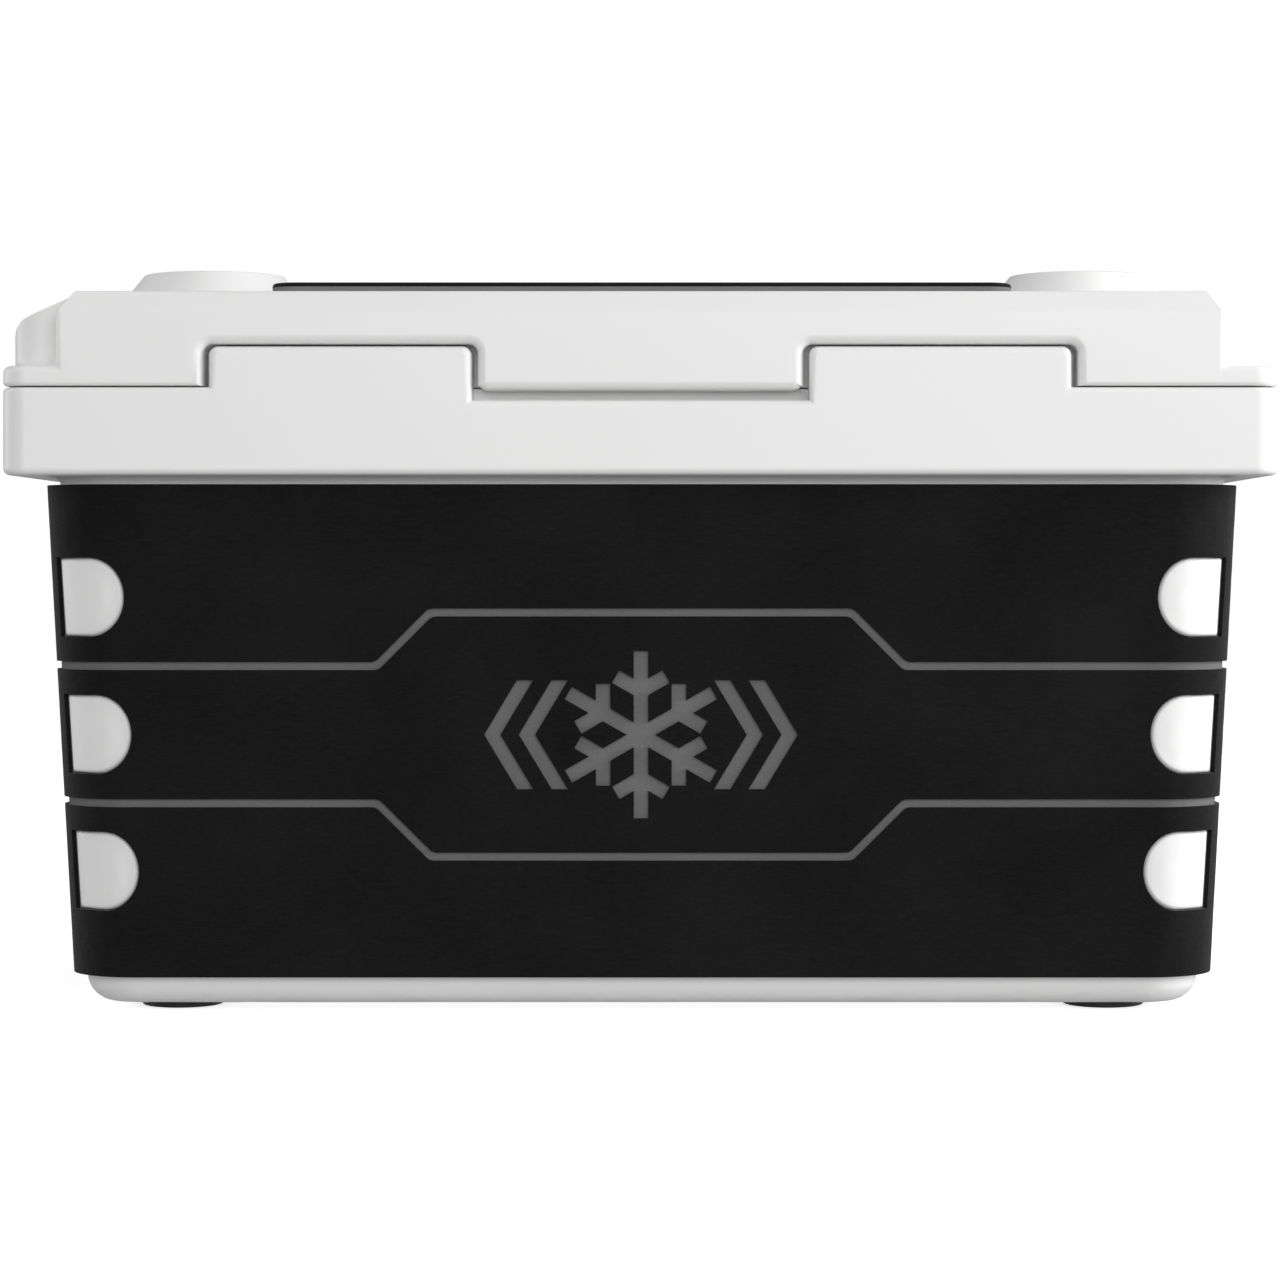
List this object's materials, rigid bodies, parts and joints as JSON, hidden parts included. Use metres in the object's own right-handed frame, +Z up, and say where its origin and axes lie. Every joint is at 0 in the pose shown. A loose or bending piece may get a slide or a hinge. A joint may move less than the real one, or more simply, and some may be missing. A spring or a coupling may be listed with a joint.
{
  "type": "cooler chest",
  "caption": "Hard-sided insulated cooler chest with hinged lid, raised drink holders, foam lid pad, foam-sheet wrap, recessed end handles, drain and rubber feet.",
  "frame": {"origin": "on the ground under the middle of the chest", "axes": "+Z up, +X along the length towards the drain end, -Y towards the front"},
  "size_m": [0.695, 0.43, 0.4226],
  "materials": {
    "shell_white": "satin moulded",
    "liner_white": "satin moulded",
    "core_foam": "rigid insulating foam",
    "wrap_gray": "matte foam",
    "wrap_black": "matte brushed foam",
    "pad_gray": "matte foam",
    "pad_black": "matte brushed foam",
    "gasket_gray": "soft matte",
    "mat_rubber": "matte",
    "foot_rubber": "matte",
    "stainless": "brushed",
    "magnet_nickel": "nickel plated",
    "bush_nylon": "natural nylon",
    "trim_black": "fine texture",
    "grip_rubber": "matte",
    "drain_gray": "satin"
  },
  "bodies": {
    "tub": {"tub_shell": "shell_white", "tub_foam": "core_foam", "tub_liner": "liner_white", "wrap_backing": "wrap_gray", "wrap_lower_band": "wrap_black", "wrap_middle_band": "wrap_black", "wrap_upper_band": "wrap_black", "foot_front_left": "foot_rubber", "foot_front_right": "foot_rubber", "foot_rear_left": "foot_rubber", "foot_rear_right": "foot_rubber", "foot_screws": "stainless", "hinge_bushes": "bush_nylon", "catch_magnet_left": "magnet_nickel", "catch_magnet_right": "magnet_nickel", "handle_bezel_left": "trim_black", "handle_bezel_right": "trim_black", "handle_pins_left": "stainless", "handle_pins_right": "stainless", "handle_screws": "stainless", "drain_body": "drain_gray", "drain_washer": "gasket_gray", "drain_nut": "drain_gray"},
    "lid": {"lid_shell": "shell_white", "lid_foam": "core_foam", "lid_liner": "liner_white", "lid_liner_screws": "stainless", "lid_gasket": "gasket_gray", "lid_pad_backing": "pad_gray", "lid_pad_face": "pad_black", "cup_mat_left": "mat_rubber", "cup_mat_right": "mat_rubber", "hinge_rod": "stainless", "hinge_plug_left": "shell_white", "hinge_plug_right": "shell_white", "strike_plate_left": "stainless", "strike_plate_right": "stainless", "strike_screws": "stainless"},
    "handle_left": {"handle_bail_left": "stainless", "handle_grip_left": "grip_rubber"},
    "handle_right": {"handle_bail_right": "stainless", "handle_grip_right": "grip_rubber"},
    "cap_travel": {"drain_cap_seal": "gasket_gray"},
    "cap": {"drain_cap": "drain_gray"}
  },
  "joints": [
    {"name": "lid_hinge", "type": "hinge", "parent": "tub", "child": "lid", "pos_m": [0, 0.204, 0.36], "axis": [-1, 0, 0], "range_deg": [0, 95]},
    {"name": "handle_left_pivot", "type": "hinge", "parent": "tub", "child": "handle_left", "pos_m": [-0.319, 0, 0.264], "axis": [0, 1, 0], "range_deg": [0, 105]},
    {"name": "handle_right_pivot", "type": "hinge", "parent": "tub", "child": "handle_right", "pos_m": [0.319, 0, 0.264], "axis": [0, -1, 0], "range_deg": [0, 105]},
    {"name": "cap_slide", "type": "slide", "parent": "tub", "child": "cap_travel", "axis": [1, 0, 0], "range_m": [0, 0.00801]},
    {"name": "cap_turn", "type": "hinge", "parent": "cap_travel", "child": "cap", "pos_m": [0.31, 0, 0.067], "axis": [1, 0, 0], "range_deg": [0, 960]}
  ],
  "couplings": [
    {"joint": "cap_slide", "follows": "cap_turn", "m_per_rad": 0.00047746}
  ]
}
